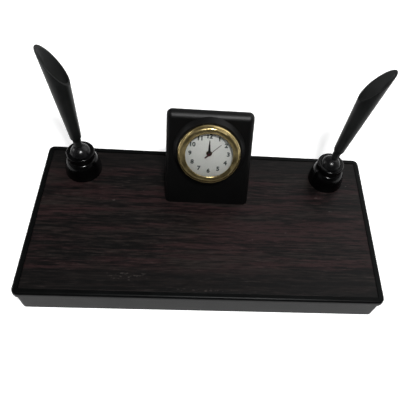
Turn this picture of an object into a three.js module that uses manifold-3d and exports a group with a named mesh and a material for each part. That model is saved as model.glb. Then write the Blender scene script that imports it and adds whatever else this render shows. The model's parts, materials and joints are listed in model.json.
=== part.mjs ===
import * as THREE from 'three';
import { mergeVertices } from 'three/addons/utils/BufferGeometryUtils.js';
import Module from 'manifold-3d';

const wasm = await Module();
wasm.setup();

// A desk stand with a clock and two swivelling pen funnels.
// Millimetres. +X runs along the long side, +Y to the back, +Z up.
// The origin is the middle of the underside, on the surface of the desk.

// Base tray, its laminate panel, its bottom board and its felt
const baseLength = 203.2;
const baseDepth = 101.6;
const baseHeight = 20.8;
const baseCornerRadius = 3.6;
const lipHeight = 4.6;
const lipOverhang = 1.0;
const lipEdgeRadius = 1.5;
const sideDraft = 0.5;
const trayWall = 2.6;
const deckThickness = 2.6;
const rimWidth = 3.3;
const panelThickness = 0.8;
const panelSink = 0.4;
const panelClearance = 0.15;
const feltThickness = 1.0;
const feltProud = 0.4;
const feltMargin = 3;
const boardThickness = 2.4;
const boardClearance = 0.4;
const ribThickness = 1.6;
const ribDepth = 6;
const boardBossRadius = 3.2;
const boardScrewInset = 9;

// Clock housing: a hollow wedge whose face leans back
const housingWidth = 50.4;
const housingTopWidth = 50.8;
const housingSetForward = 39.7;
const faceLean = 24.8;
const faceHeight = 57.8;
const housingTopDepth = 6.2;
const housingWall = 2.3;
const housingCornerRadius = 4;
const housingEdgeRadius = 2.2;
const housingBossRadius = 3.1;
const housingBossHeight = 12;
const housingScrewSideInset = 5.1;
const housingScrewFrontInset = 8.5;
const housingScrewBackInset = 5.1;
const clockCentreUpFace = 35.9;
const collarBaseRadius = 20.5;
const collarTopRadius = 18.9;
const collarHeight = 3.2;
const clockBoreRadius = 16.95;
const boreSleeveWall = 1.5;
const boreSleeveDepth = 4;

// Clock insert, measured along the normal of the housing's face
const runningGap = 0.3;
const slipGap = 0.2;
const bezelRadius = 18.25;
const bezelOpeningRadius = 13.7;
const bezelHeight = 4.2;
const bezelSkirt = 0.5;
const bezelLip = 0.35;
const lensThickness = 0.8;
const lensCrown = 0.15;
const dialRadius = 15.2;
const dialThickness = 0.4;
const caseWall = 1.4;
const caseDepth = 9;
const gripRibHeight = 0.25;
const gripRibCount = 3;
const gripBandThickness = 0.2;
const gripLength = 5.2;
const gripDrop = 0.8;

// Movement and hands
const gearModule = 0.3;
const toothRoot = 0.27;
const toothTip = 0.09;
const addendum = 0.9;
const dedendum = 1.25;
const cannonTeeth = 10;
const minuteWheelTeeth = 30;
const minutePinionTeeth = 8;
const hourWheelTeeth = 32;
const wheelThickness = 0.7;
const pinionThickness = 1.0;
const wheelStep = 0.35;
const plateThickness = 1.2;
const secondsArborRadius = 0.3;
const cannonBoreRadius = 0.55;
const cannonPipeRadius = 0.85;
const hourBoreRadius = 1.1;
const hourPipeRadius = 1.45;
const handThickness = 0.2;
const hourHandLength = 6.6;
const minuteHandLength = 8.9;
const secondHandLength = 9.5;
const secondTailLength = 3.4;
const secondHandAngle = -46;
const hubRadius = 1.15;
const knobRadius = 2.3;
const knobHeight = 1.8;
const knobGripTeeth = 16;
const knobGripDepth = 0.25;
const arborRadius = 0.8;
const cellRadius = 3.4;
const cellThickness = 2.1;
const cellUp = 7.4;
const hatchRadius = 4.3;
const hatchSlotWidth = 0.9;
const hatchSlotDepth = 0.6;
const arborSocketDepth = 0.9;
const handHubRim = 0.35;

// Pen holders
const holderSideInset = 24.6;
const holderBackInset = 17.3;
const footRadius = 11;
const footEdge = 1.1;
const footRecess = 1.4;
const domeRadius = 10.9;
const domeHeight = 6.2;
const domeShoulder = 1.4;
const throatWall = 0.55;
const throatDrop = 2.4;
const bellFlange = 0.5;
const cupRadius = 8.3;
const ballRadius = 6.6;
const ballHeight = 15;
const ballGap = 0.25;
const cupBoreRadius = 6.95;
const spigotWall = 0.55;
const shoulderDrop = 1.2;
const spigotRise = 0.5;
const ringTop = 2.4;
const ringEdge = 0.8;
const cupDepth = 8.1;
const cupBoreDepth = 3.8;
const cupConeDepth = 7;
const seatDepth = 7.1;
const seatConeDepth = 4;
const seatClearance = 0.35;
const seatTopAngle = 112;
const seatBottomAngle = 150;
const springThickness = 0.4;
const springRise = 0.3;
const springInnerRadius = 3;

// Pen funnels, measured along the funnel from the middle of its ball
const ballFlat = 6.1;
const ballSocketFloor = 2.4;
const neckRadius = 2.45;
const neckEnd = 11.4;
const shoulderAt = 12.6;
const shoulderRadius = 3.35;
const mouthLowAt = 47.9;
const mouthLowRadius = 5.8;
const mouthTipAt = 71.3;
const funnelWall = 0.9;
const tenonRadius = 1.8;
const boreFloorAt = 14.6;

// How the two funnels stand in the photograph, in degrees
const poses = {
  left: { side: -1, azimuth: 121.2, tilt: 15.4, spin: -130 },
  right: { side: 1, azimuth: 45.6, tilt: 22.2, spin: 140 },
};

// Fasteners
const screwRadius = 1.4;
const screwHeadRadius = 2.7;
const screwHeadHeight = 1.9;
const screwGrip = 8;
const pointLength = 1;
const boltRadius = 2;
const boltHeadRadius = 3.6;
const boltHeadHeight = 2.4;
const boltGrip = 5;
const washerRadius = 4.8;
const washerThickness = 0.8;
const holeClearance = 0.3;

// Sizes that follow from the ones above
const degree = Math.PI / 180;
const trayBottom = feltProud;
const panelTop = baseHeight - panelSink;
const deckTop = panelTop - panelThickness;
const deckBottom = deckTop - deckThickness;
const boardTop = feltThickness + boardThickness;
const lean = faceLean * degree;
const housingFrontY = baseDepth / 2 - housingSetForward;
const housingTopZ = panelTop + faceHeight * Math.cos(lean);
const housingTopFrontY = housingFrontY + faceHeight * Math.sin(lean);
const housingBackY = housingTopFrontY + housingTopDepth;
const seatLevel = collarHeight + runningGap;
const flangeRadius = bezelRadius - bezelSkirt - runningGap;
const gripBandRadius = clockBoreRadius - slipGap - gripRibHeight;
const caseRadius = gripBandRadius - gripBandThickness - slipGap;
const caseBack = seatLevel - caseDepth;
const caseFloor = caseBack + caseWall - slipGap;
const caseInnerRadius = caseRadius - caseWall;
const dialUnderside = seatLevel - 0.1;
const dialTop = dialUnderside + dialThickness;
const hourHandLevel = dialTop + runningGap;
const minuteHandLevel = hourHandLevel + handThickness + runningGap;
const secondHandLevel = minuteHandLevel + handThickness + runningGap;
const caseRim = secondHandLevel + handThickness;
const lensUnderside = caseRim + runningGap;
const bezelLipUnderside = lensUnderside + lensThickness + lensCrown + runningGap;
const bezelTop = Math.max(seatLevel + bezelHeight, bezelLipUnderside + bezelLip * 2);
const wheelCentre = (gearModule * (cannonTeeth + minuteWheelTeeth)) / 2;
const upperWheelTop = dialUnderside - runningGap;
const upperWheelBottom = upperWheelTop - wheelThickness;
const lowerWheelTop = upperWheelBottom - wheelStep;
const lowerWheelBottom = lowerWheelTop - wheelThickness;
const lowerPinionBottom = lowerWheelTop - pinionThickness;
const plateTop = lowerPinionBottom - runningGap;
const plateBottom = plateTop - plateThickness;
const moduleTop = plateBottom - runningGap;
const moduleBottom = caseFloor + runningGap;
const funnelTaper = (mouthLowRadius - shoulderRadius) / (mouthLowAt - shoulderAt);
const ballGapRadius = ballRadius + ballGap;
const holderX = baseLength / 2 - holderSideInset;
const holderY = baseDepth / 2 - holderBackInset;
const bellShoulder = ballHeight - shoulderDrop;
const cupFloor = ballHeight - cupDepth;

// Facets round a turned piece, by how much of it shows
const fineFacets = 32;
const plainFacets = 20;
const smallFacets = 10;

// Looks of the pieces
function finish(color, roughness, metalness = 0) {
  return new THREE.MeshStandardMaterial({ color, roughness, metalness, flatShading: true });
}
const blackSatin = () => finish(0x17181a, 0.45);
const blackGloss = () => finish(0x0b0b0c, 0.15);
const rosewood = () => finish(0x2b1e1d, 0.4);
const board = () => finish(0x5b4632, 0.85);
const felt = () => finish(0x1c2b22, 0.95);
const gold = () => finish(0xd9b24a, 0.18, 1);
const steel = () => finish(0xb9bcc0, 0.35, 1);
const brass = () => finish(0xb08f3c, 0.35, 1);
const nylon = () => finish(0xd8d4c8, 0.5);
const rubber = () => finish(0x151515, 0.85);
const dialSilver = () => finish(0xd9dad6, 0.6);
const handBlack = () => finish(0x101012, 0.35);
const handRed = () => finish(0x5a1418, 0.35);
const clearGlass = () => {
  const glass = finish(0xf2f6f7, 0.05);
  glass.transparent = true;
  glass.opacity = 0.25;
  return glass;
};

// Geometry helpers

// A merged copy of a geometry, as a solid that can be joined and cut
function solid(geometry) {
  const bare = geometry.clone();
  bare.deleteAttribute('normal');
  bare.deleteAttribute('uv');
  const merged = mergeVertices(bare, 1e-5);
  return new wasm.Manifold(new wasm.Mesh({
    numProp: 3,
    vertProperties: new Float32Array(merged.attributes.position.array),
    triVerts: new Uint32Array(merged.index.array),
  }));
}

function geometryOf(body) {
  const { vertProperties, triVerts } = body.getMesh();
  const geometry = new THREE.BufferGeometry();
  geometry.setAttribute('position', new THREE.BufferAttribute(vertProperties, 3));
  geometry.setIndex(new THREE.BufferAttribute(triVerts, 1));
  return geometry;
}

const joined = (bodies) => bodies.reduce((sum, next) => sum.add(next));
const cut = (body, tools) => tools.reduce((rest, tool) => rest.subtract(tool), body);

function mesh(name, geometry, material) {
  const piece = new THREE.Mesh(geometry, material);
  piece.name = name;
  return piece;
}

function group(...children) {
  const parent = new THREE.Group();
  parent.add(...children);
  return parent;
}

// A body of revolution about Z from a profile of [radius, height], listed with the solid on its left
function revolve(profile, segments = plainFacets) {
  const points = profile.map(([radius, height]) => new THREE.Vector2(radius, height));
  return new THREE.LatheGeometry(points, segments).rotateX(Math.PI / 2);
}

// The same for a profile that doesn't touch the axis and closes on itself
const revolveRing = (profile, segments) => revolve([...profile, profile[0]], segments);

function cylinder(radius, bottom, top, x = 0, y = 0, segments = smallFacets) {
  return revolve([[0, bottom], [radius, bottom], [radius, top], [0, top]], segments).translate(x, y, 0);
}

function box(width, depth, bottom, top, x = 0, y = 0) {
  return new THREE.BoxGeometry(width, depth, top - bottom).translate(x, y, (bottom + top) / 2);
}

// Points of a circular arc in a profile, by polar angle from the +Z axis
function arc(radius, fromAngle, toAngle, steps, centre = 0) {
  return Array.from({ length: steps + 1 }, (_, i) => {
    const angle = (fromAngle + ((toAngle - fromAngle) * i) / steps) * degree;
    return [radius * Math.sin(angle), centre + radius * Math.cos(angle)];
  });
}

const curvePoints = (curve, steps) => curve.getPoints(steps).map((point) => [point.x, point.y]);

function roundedRect(length, depth, radius) {
  const steps = 3;
  const points = [];
  const corners = [[1, 1], [-1, 1], [-1, -1], [1, -1]];
  corners.forEach(([sx, sy], quarter) => {
    for (let i = 0; i <= steps; i += 1) {
      const angle = (quarter + i / steps) * 90 * degree;
      const x = sx * (length / 2 - radius) + radius * Math.cos(angle);
      const y = sy * (depth / 2 - radius) + radius * Math.sin(angle);
      points.push(new THREE.Vector2(x, y));
    }
  });
  return points;
}

// A closed body through outlines of equal point count, stacked upwards
function loft(rings) {
  const count = rings[0].outline.length;
  const positions = rings.flatMap(({ outline, z }) => outline.flatMap((point) => [point.x, point.y, z]));
  const index = [];
  const caps = [rings[0], rings.at(-1)].map((ring) => THREE.ShapeUtils.triangulateShape(ring.outline, []));
  for (let ring = 0; ring + 1 < rings.length; ring += 1) {
    for (let i = 0; i < count; i += 1) {
      const a = ring * count + i;
      const b = ring * count + ((i + 1) % count);
      index.push(a, b, b + count, a, b + count, a + count);
    }
  }
  const top = (rings.length - 1) * count;
  for (const [a, b, c] of caps[0]) index.push(a, c, b);
  for (const [a, b, c] of caps[1]) index.push(top + a, top + b, top + c);
  const geometry = new THREE.BufferGeometry();
  geometry.setAttribute('position', new THREE.Float32BufferAttribute(positions, 3));
  geometry.setIndex(index);
  return geometry;
}

// The base's outline, drawn in by an inset, at a height
function baseRing(inset, z) {
  const radius = Math.max(baseCornerRadius - inset, 0.6);
  return { outline: roundedRect(baseLength - 2 * inset, baseDepth - 2 * inset, radius), z };
}

// A polygon with each corner rounded by its own radius
function roundedPolygon(corners) {
  const shape = new THREE.Shape();
  corners.forEach(({ x, y, radius }, i) => {
    const corner = new THREE.Vector2(x, y);
    const along = (other) => new THREE.Vector2(other.x, other.y).sub(corner).setLength(radius).add(corner);
    const start = along(corners.at(i - 1));
    const end = along(corners[(i + 1) % corners.length]);
    if (i === 0) shape.moveTo(start.x, start.y);
    else shape.lineTo(start.x, start.y);
    shape.quadraticCurveTo(x, y, end.x, end.y);
  });
  return shape.closePath();
}

function prism(shape, depth, curveSegments = 4) {
  return new THREE.ExtrudeGeometry(shape, { depth, curveSegments, bevelEnabled: false });
}

// Base

const boardScrewSpots = () => {
  const x = baseLength / 2 - boardScrewInset;
  const y = baseDepth / 2 - boardScrewInset;
  return [-x, 0, x].flatMap((screwX) => [[screwX, -y], [screwX, y]]);
};
const housingScrewSpots = () => [-1, 1].flatMap((side) => {
  const x = side * (housingWidth / 2 - housingScrewSideInset);
  return [[x, housingFrontY + housingScrewFrontInset], [x, housingBackY - housingScrewBackInset]];
});
const sideNames = ['left', 'right'];
const holderSpots = () => [-1, 1].map((side) => [side * holderX, holderY]);

function lipRings() {
  const underside = baseHeight - lipHeight;
  const rings = [baseRing(lipOverhang, underside), baseRing(lipOverhang / 2, underside)];
  rings.push(baseRing(0, underside + lipOverhang / 2));
  for (const angle of [0, 30, 60, 90]) {
    const inset = lipEdgeRadius * (1 - Math.cos(angle * degree));
    rings.push(baseRing(inset, baseHeight - lipEdgeRadius * (1 - Math.sin(angle * degree))));
  }
  return rings;
}

function deckHoles(bottom, top) {
  const holes = (spots, radius) => spots.map(([x, y]) => cylinder(radius + holeClearance, bottom, top, x, y));
  return [...holes(housingScrewSpots(), screwRadius), ...holes(holderSpots(), boltRadius)].map(solid);
}

// Blind holes for the screws, from below a face up to past their points
function screwPilots(spots, face) {
  return spots.map(([x, y]) => solid(
    cylinder(screwRadius + holeClearance, face - 1, face + screwGrip + pointLength, x, y)));
}

function baseTray() {
  const outside = solid(loft([baseRing(lipOverhang + sideDraft, trayBottom), ...lipRings()]));
  const wallInset = lipOverhang + sideDraft + trayWall;
  const cavity = solid(loft([baseRing(wallInset, trayBottom - 1), baseRing(wallInset, deckBottom)]));
  const recess = solid(loft([baseRing(rimWidth, deckTop), baseRing(rimWidth, baseHeight + 1)]));
  const ribLength = baseLength - 2 * wallInset + 1;
  const ribSpan = baseDepth - 2 * wallInset + 1;
  const ribBottom = deckBottom - ribDepth;
  const ribTop = deckBottom + 0.5;
  const longRib = solid(box(ribLength, ribThickness, ribBottom, ribTop, 0, -baseDepth / 4));
  const crossRibs = [-1, 1].map((side) => solid(
    box(ribThickness, ribSpan, ribBottom, ribTop, (side * baseLength) / 4, 0)));
  const bosses = boardScrewSpots().map(([x, y]) => solid(
    cylinder(boardBossRadius, boardTop, ribTop, x, y)));
  const shell = joined([cut(outside, [cavity, recess]), longRib, ...crossRibs, ...bosses]);
  const holes = [...screwPilots(boardScrewSpots(), boardTop), ...deckHoles(ribBottom, baseHeight)];
  return mesh('base_tray', geometryOf(cut(shell, holes)), blackSatin());
}

function laminatePanel() {
  const inset = rimWidth + panelClearance;
  const sheet = solid(loft([baseRing(inset, deckTop), baseRing(inset, panelTop)]));
  return mesh('laminate_panel', geometryOf(cut(sheet, deckHoles(deckTop - 1, panelTop + 1))), rosewood());
}

function bottomBoard() {
  const inset = lipOverhang + sideDraft + trayWall + boardClearance;
  const plate = solid(loft([baseRing(inset, feltThickness), baseRing(inset, boardTop)]));
  const wide = screwHeadRadius + holeClearance;
  const narrow = screwRadius + holeClearance;
  const sink = [[0, feltThickness - 1], [wide, feltThickness - 1], [wide, feltThickness],
    [narrow, feltThickness + screwHeadHeight], [narrow, boardTop + 1], [0, boardTop + 1]];
  const sinks = boardScrewSpots().map(([x, y]) => solid(revolve(sink, smallFacets).translate(x, y, 0)));
  return mesh('bottom_board', geometryOf(cut(plate, sinks)), board());
}

function feltPad() {
  const inset = lipOverhang + sideDraft + trayWall + feltMargin;
  return mesh('felt_pad', loft([baseRing(inset, 0), baseRing(inset, feltThickness)]), felt());
}

// Fasteners under the deck and under the board

function countersunkScrew(x, y) {
  const head = feltThickness + 0.1;
  const top = boardTop + screwGrip;
  const profile = [[0, head], [screwHeadRadius, head], [screwRadius, head + screwHeadHeight],
    [screwRadius, top - pointLength], [0, top]];
  return revolve(profile, smallFacets).translate(x, y, 0);
}

function panScrew({ radius, headRadius, headHeight }, seat, tip, x, y) {
  const profile = [[0, seat - headHeight], [headRadius * 0.7, seat - headHeight],
    [headRadius, seat - headHeight * 0.6], [headRadius, seat], [radius, seat],
    [radius, tip - pointLength], [0, tip]];
  return revolve(profile, smallFacets).translate(x, y, 0);
}

function holderWasher(x, y) {
  const inner = boltRadius + holeClearance;
  const profile = [[inner, deckBottom - washerThickness], [washerRadius, deckBottom - washerThickness],
    [washerRadius, deckBottom], [inner, deckBottom]];
  return revolveRing(profile, smallFacets).translate(x, y, 0);
}

function fasteners() {
  const screw = { radius: screwRadius, headRadius: screwHeadRadius, headHeight: screwHeadHeight };
  const bolt = { radius: boltRadius, headRadius: boltHeadRadius, headHeight: boltHeadHeight };
  const boltSeat = deckBottom - washerThickness;
  const steelPiece = (name, geometry) => mesh(name, geometry, steel());
  const bottomScrews = boardScrewSpots().map(([x, y], i) => steelPiece(
    `bottom_screw_${i + 1}`, countersunkScrew(x, y)));
  const housingScrews = housingScrewSpots().map(([x, y], i) => steelPiece(
    `housing_screw_${i + 1}`, panScrew(screw, deckBottom, panelTop + screwGrip, x, y)));
  const bolts = holderSpots().map(([x, y], i) => steelPiece(
    `holder_bolt_${sideNames[i]}`, panScrew(bolt, boltSeat, panelTop + boltGrip, x, y)));
  const washers = holderSpots().map(([x, y], i) => steelPiece(
    `holder_washer_${sideNames[i]}`, holderWasher(x, y)));
  return [...bottomScrews, ...housingScrews, ...bolts, ...washers];
}

// Clock housing

// The wedge as the common part of its side, front and plan outlines, drawn in by an inset
function housingWedge(inset, bottom) {
  const side = Math.max(housingEdgeRadius - inset, 0.3);
  const corner = Math.max(housingCornerRadius - inset, 0.5);
  const frontShift = inset / Math.cos(lean);
  const top = housingTopZ - inset;
  const frontAt = (z) => housingFrontY + frontShift + (z - panelTop) * Math.tan(lean);
  const back = housingBackY - inset;
  const sideShape = roundedPolygon([
    { x: frontAt(bottom), y: bottom, radius: 0.3 },
    { x: back, y: bottom, radius: 0.3 },
    { x: back, y: top, radius: side },
    { x: frontAt(top), y: top, radius: corner },
  ]);
  const half = housingWidth / 2 - inset;
  const topHalf = housingTopWidth / 2 - inset;
  const frontShape = roundedPolygon([
    { x: -half, y: bottom, radius: 0.3 },
    { x: half, y: bottom, radius: 0.3 },
    { x: topHalf, y: top, radius: corner },
    { x: -topHalf, y: top, radius: corner },
  ]);
  const span = Math.max(housingWidth, housingTopWidth) + 2;
  const acrossX = prism(sideShape, span).rotateX(90 * degree).rotateZ(90 * degree);
  acrossX.translate(-span / 2, 0, 0);
  const alongY = prism(frontShape, housingBackY - housingFrontY + 2).rotateX(90 * degree);
  alongY.translate(0, housingBackY + 1, 0);
  const depth = back - housingFrontY - frontShift;
  const outline = roundedRect(2 * half, depth, Math.max(housingEdgeRadius - inset, 0.4));
  outline.forEach((point) => point.setY(point.y + housingFrontY + frontShift + depth / 2));
  const plan = loft([{ outline, z: bottom - 1 }, { outline, z: top + 1 }]);
  return solid(acrossX).intersect(solid(alongY)).intersect(solid(plan));
}

// Places what is measured from the face onto the face, about the clock's axis
function onFace() {
  const matrix = new THREE.Matrix4().makeRotationX(Math.PI / 2 - lean);
  const y = housingFrontY + clockCentreUpFace * Math.sin(lean);
  const z = panelTop + clockCentreUpFace * Math.cos(lean);
  return matrix.setPosition(0, y, z);
}

// A solid of revolution about the clock's axis, on the face
const turnedOnFace = (profile) => solid(revolve(profile, fineFacets).applyMatrix4(onFace()));

function cylinderOnFace(radius, bottom, top) {
  return turnedOnFace([[0, bottom], [radius, bottom], [radius, top], [0, top]]);
}

function clockHousing() {
  const outside = housingWedge(0, panelTop);
  const cavity = housingWedge(housingWall, panelTop - 1);
  const collar = turnedOnFace([[0, -1], [collarBaseRadius, -1], [collarBaseRadius, 0],
    [collarTopRadius + 0.4, collarHeight - 0.5], [collarTopRadius, collarHeight], [0, collarHeight]]);
  const sleeve = cylinderOnFace(clockBoreRadius + boreSleeveWall, -boreSleeveDepth, 0).intersect(outside);
  const bosses = housingScrewSpots().map(([x, y]) => solid(
    cylinder(housingBossRadius, panelTop, panelTop + housingBossHeight, x, y)).intersect(outside));
  const bore = cylinderOnFace(clockBoreRadius, -boreSleeveDepth - 0.5, collarHeight + 1);
  const shell = joined([cut(outside, [cavity]), collar, sleeve, ...bosses]);
  const holes = [bore, ...screwPilots(housingScrewSpots(), panelTop)];
  return mesh('clock_housing', geometryOf(cut(shell, holes)), blackSatin());
}

// Clock insert: the shell that holds the dial and the glass

function bezel() {
  const inner = bezelRadius - bezelSkirt;
  const crest = (bezelRadius + bezelOpeningRadius) / 2 + 0.5;
  const shoulder = new THREE.CubicBezierCurve(
    new THREE.Vector2(bezelRadius, seatLevel + 0.9),
    new THREE.Vector2(bezelRadius, bezelTop - 1.2),
    new THREE.Vector2(crest + 1, bezelTop),
    new THREE.Vector2(crest, bezelTop),
  );
  const inwards = new THREE.QuadraticBezierCurve(
    new THREE.Vector2(crest, bezelTop),
    new THREE.Vector2(bezelOpeningRadius + 0.7, bezelTop),
    new THREE.Vector2(bezelOpeningRadius, bezelLipUnderside + bezelLip),
  );
  const profile = [
    [inner, seatLevel], [bezelRadius - 0.2, seatLevel], [bezelRadius, seatLevel + 0.2],
    ...curvePoints(shoulder, 4),
    ...curvePoints(inwards, 3).slice(1),
    [bezelOpeningRadius, bezelLipUnderside], [inner, bezelLipUnderside],
  ];
  return mesh('clock_bezel', revolveRing(profile, fineFacets), gold());
}

function lens() {
  const top = lensUnderside + lensThickness;
  const profile = [[0, lensUnderside], [flangeRadius, lensUnderside], [flangeRadius, top - lensCrown],
    [flangeRadius * 0.7, top + lensCrown * 0.5], [flangeRadius * 0.4, top + lensCrown * 0.85],
    [0, top + lensCrown]];
  return mesh('clock_lens', revolve(profile, fineFacets), clearGlass());
}

function dial() {
  const hole = hourPipeRadius + runningGap;
  const profile = [[hole, dialUnderside], [dialRadius, dialUnderside],
    [dialRadius, dialTop], [hole, dialTop]];
  return mesh('clock_dial', revolveRing(profile, plainFacets), dialSilver());
}

function insertCase() {
  const ledge = dialUnderside - runningGap;
  const dialSeat = dialRadius + runningGap;
  const profile = [[0, caseBack], [caseRadius, caseBack], [caseRadius, seatLevel], [flangeRadius, seatLevel],
    [flangeRadius, caseRim], [dialSeat, caseRim], [dialSeat, ledge], [caseInnerRadius, ledge],
    [caseInnerRadius, caseFloor], [0, caseFloor]];
  const cup = solid(revolve(profile, plainFacets));
  const below = caseBack - 1;
  const above = caseFloor + 1;
  const hatchHole = solid(cylinder(hatchRadius + runningGap, below, above, 0, cellUp));
  const knobHole = solid(cylinder(arborRadius + runningGap, below, above, 0, -2 * wheelCentre));
  return mesh('insert_case', geometryOf(cut(cup, [hatchHole, knobHole])), blackSatin());
}

function gripRing() {
  const inner = caseRadius + slipGap;
  const top = seatLevel - gripDrop;
  const pitch = gripLength / gripRibCount;
  const profile = [[inner, top - gripLength]];
  for (let rib = 0; rib < gripRibCount; rib += 1) {
    const bottom = top - gripLength + rib * pitch;
    profile.push([gripBandRadius, bottom], [gripBandRadius + gripRibHeight, bottom + pitch / 2]);
  }
  profile.push([gripBandRadius, top], [inner, top]);
  return mesh('grip_ring', revolveRing(profile, plainFacets), rubber());
}

// Clock insert: movement

function mainPlate() {
  const radius = caseInnerRadius - runningGap;
  const plate = solid(cylinder(radius, plateBottom, plateTop, 0, 0, plainFacets));
  const post = solid(cylinder(secondsArborRadius, plateTop - 0.5, upperWheelTop, 0, -wheelCentre));
  const centreHole = solid(cylinder(secondsArborRadius + runningGap, plateBottom - 1, plateTop + 1));
  const knobHole = solid(cylinder(
    arborRadius + runningGap, plateBottom - 1, plateTop + 1, 0, -2 * wheelCentre));
  return mesh('main_plate', geometryOf(cut(plate.add(post), [centreHole, knobHole])), brass());
}

function driveModule() {
  const radius = caseInnerRadius - runningGap;
  const block = solid(cylinder(radius, moduleBottom, moduleTop, 0, 0, plainFacets));
  const pocket = solid(cylinder(
    cellRadius + runningGap, moduleBottom - 1, moduleBottom + cellThickness + runningGap, 0, cellUp));
  const knobHole = solid(cylinder(
    arborRadius + runningGap, moduleBottom - 1, moduleTop + 1, 0, -2 * wheelCentre));
  const arborSocket = solid(cylinder(
    secondsArborRadius + runningGap, moduleTop - arborSocketDepth, moduleTop + 1));
  return mesh('drive_module', geometryOf(cut(block, [pocket, knobHole, arborSocket])), nylon());
}

function buttonCell() {
  const top = moduleBottom + cellThickness;
  const profile = [[0, moduleBottom], [cellRadius, moduleBottom], [cellRadius, top - 0.4],
    [cellRadius - 0.5, top], [0, top]];
  return mesh('button_cell', revolve(profile, smallFacets).translate(0, cellUp, 0), steel());
}

function cellHatch() {
  const plug = solid(cylinder(hatchRadius, caseBack, caseFloor, 0, cellUp));
  const slot = solid(box(
    hatchRadius * 1.3, hatchSlotWidth, caseBack - 1, caseBack + hatchSlotDepth, 0, cellUp));
  return mesh('cell_hatch', geometryOf(cut(plug, [slot])), blackSatin());
}

// A spur gear with one tooth centred on angle zero
function gear(teeth, bottom, top, boreRadius) {
  const pitch = (2 * Math.PI) / teeth;
  const root = gearModule * (teeth / 2 - dedendum);
  const tip = gearModule * (teeth / 2 + addendum);
  const shape = new THREE.Shape();
  const flanks = [[root, -toothRoot], [tip, -toothTip], [tip, toothTip], [root, toothRoot]];
  const points = [];
  for (let tooth = 0; tooth < teeth; tooth += 1) {
    for (const [radius, share] of flanks) {
      const angle = (tooth + share) * pitch;
      points.push(new THREE.Vector2(radius * Math.cos(angle), radius * Math.sin(angle)));
    }
  }
  shape.setFromPoints(points).closePath();
  const hole = new THREE.Path();
  hole.absarc(0, 0, boreRadius, 0, 2 * Math.PI, true);
  if (boreRadius > 0) shape.holes.push(hole);
  return prism(shape, top - bottom, 6).translate(0, 0, bottom);
}

function pipe(inner, outer, bottom, top) {
  return revolveRing([[inner, bottom], [outer, bottom], [outer, top], [inner, top]], smallFacets);
}

// Cannon pinion: its teeth mesh with the minute wheel, its pipe carries the minute hand
function cannonPinion() {
  const teeth = gear(cannonTeeth, lowerPinionBottom, lowerWheelTop, cannonBoreRadius).rotateZ(-90 * degree);
  const tube = pipe(cannonBoreRadius, cannonPipeRadius, lowerPinionBottom, minuteHandLevel);
  return mesh('cannon_pinion', geometryOf(solid(teeth).add(solid(tube))), brass());
}

// Minute wheel on its post, with the pinion that drives the hour wheel
function minuteWheel() {
  const bore = secondsArborRadius + runningGap;
  const halfTooth = 180 / minuteWheelTeeth;
  const wheel = gear(minuteWheelTeeth, lowerWheelBottom, lowerWheelTop, bore);
  wheel.rotateZ((90 + halfTooth) * degree);
  const pinion = gear(minutePinionTeeth, lowerWheelTop - 0.2, upperWheelTop, bore);
  pinion.rotateZ(90 * degree);
  const body = solid(wheel).add(solid(pinion));
  return mesh('minute_wheel', geometryOf(body).translate(0, -wheelCentre, 0), brass());
}

function hourWheel() {
  const halfTooth = 180 / hourWheelTeeth;
  const wheel = gear(hourWheelTeeth, upperWheelBottom, upperWheelTop, hourBoreRadius);
  wheel.rotateZ((-90 + halfTooth) * degree);
  const tube = pipe(hourBoreRadius, hourPipeRadius, upperWheelBottom, hourHandLevel);
  return mesh('hour_wheel', geometryOf(solid(wheel).add(solid(tube))), brass());
}

// A hand pointing to twelve: a hub with a hole, a tapered blade and an optional tail
function hand(name, level, { hub, hole, root, tip, length, tail = 0 }, material) {
  const blade = new THREE.Shape();
  blade.moveTo(-root / 2, -tail);
  blade.lineTo(root / 2, -tail);
  blade.lineTo(root / 2, hub * 0.5);
  blade.lineTo(tip / 2, length - tip);
  blade.lineTo(0, length);
  blade.lineTo(-tip / 2, length - tip);
  blade.lineTo(-root / 2, hub * 0.5);
  blade.closePath();
  const body = solid(prism(blade, handThickness).translate(0, 0, level))
    .add(solid(cylinder(hub, level, level + handThickness)));
  const bored = hole ? cut(body, [solid(cylinder(hole, level - 1, level + 1))]) : body;
  return mesh(name, geometryOf(bored), material);
}

function hourHand() {
  const hub = hourPipeRadius + handHubRim;
  const size = { hub, hole: hourBoreRadius, root: 1.1, tip: 0.8, length: hourHandLength };
  return hand('hour_hand', hourHandLevel, size, handBlack());
}

function minuteHand() {
  const size = { hub: hubRadius, hole: cannonBoreRadius, root: 0.9, tip: 0.5, length: minuteHandLength };
  return hand('minute_hand', minuteHandLevel, size, handBlack());
}

function secondHand() {
  const reach = { length: secondHandLength, tail: secondTailLength };
  const size = { hub: hubRadius, hole: 0, root: 0.28, tip: 0.18, ...reach };
  const piece = hand('second_hand', secondHandLevel, size, handRed());
  piece.rotation.z = secondHandAngle * degree;
  return piece;
}

function secondsArbor() {
  const bottom = moduleTop - 0.6;
  return mesh('seconds_arbor', cylinder(secondsArborRadius, bottom, secondHandLevel), steel());
}

function knurledDisc(radius, teeth, bottom, top) {
  const points = Array.from({ length: 2 * teeth }, (_, i) => {
    const reach = i % 2 ? radius : radius - knobGripDepth;
    const angle = (Math.PI * i) / teeth;
    return new THREE.Vector2(reach * Math.cos(angle), reach * Math.sin(angle));
  });
  return prism(new THREE.Shape(points), top - bottom).translate(0, 0, bottom);
}

// Setting knob at the back, with its arbor and the pinion that turns the minute wheel
function settingKnob() {
  const top = caseBack - runningGap;
  const disc = knurledDisc(knobRadius, knobGripTeeth, top - knobHeight, top);
  const arbor = cylinder(arborRadius, top - 0.5, lowerPinionBottom + 0.2);
  const teeth = gear(cannonTeeth, lowerPinionBottom, lowerWheelTop, 0).rotateZ(90 * degree);
  const body = joined([disc, arbor, teeth].map(solid));
  return mesh('setting_knob', geometryOf(body).translate(0, -2 * wheelCentre, 0), blackSatin());
}

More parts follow.
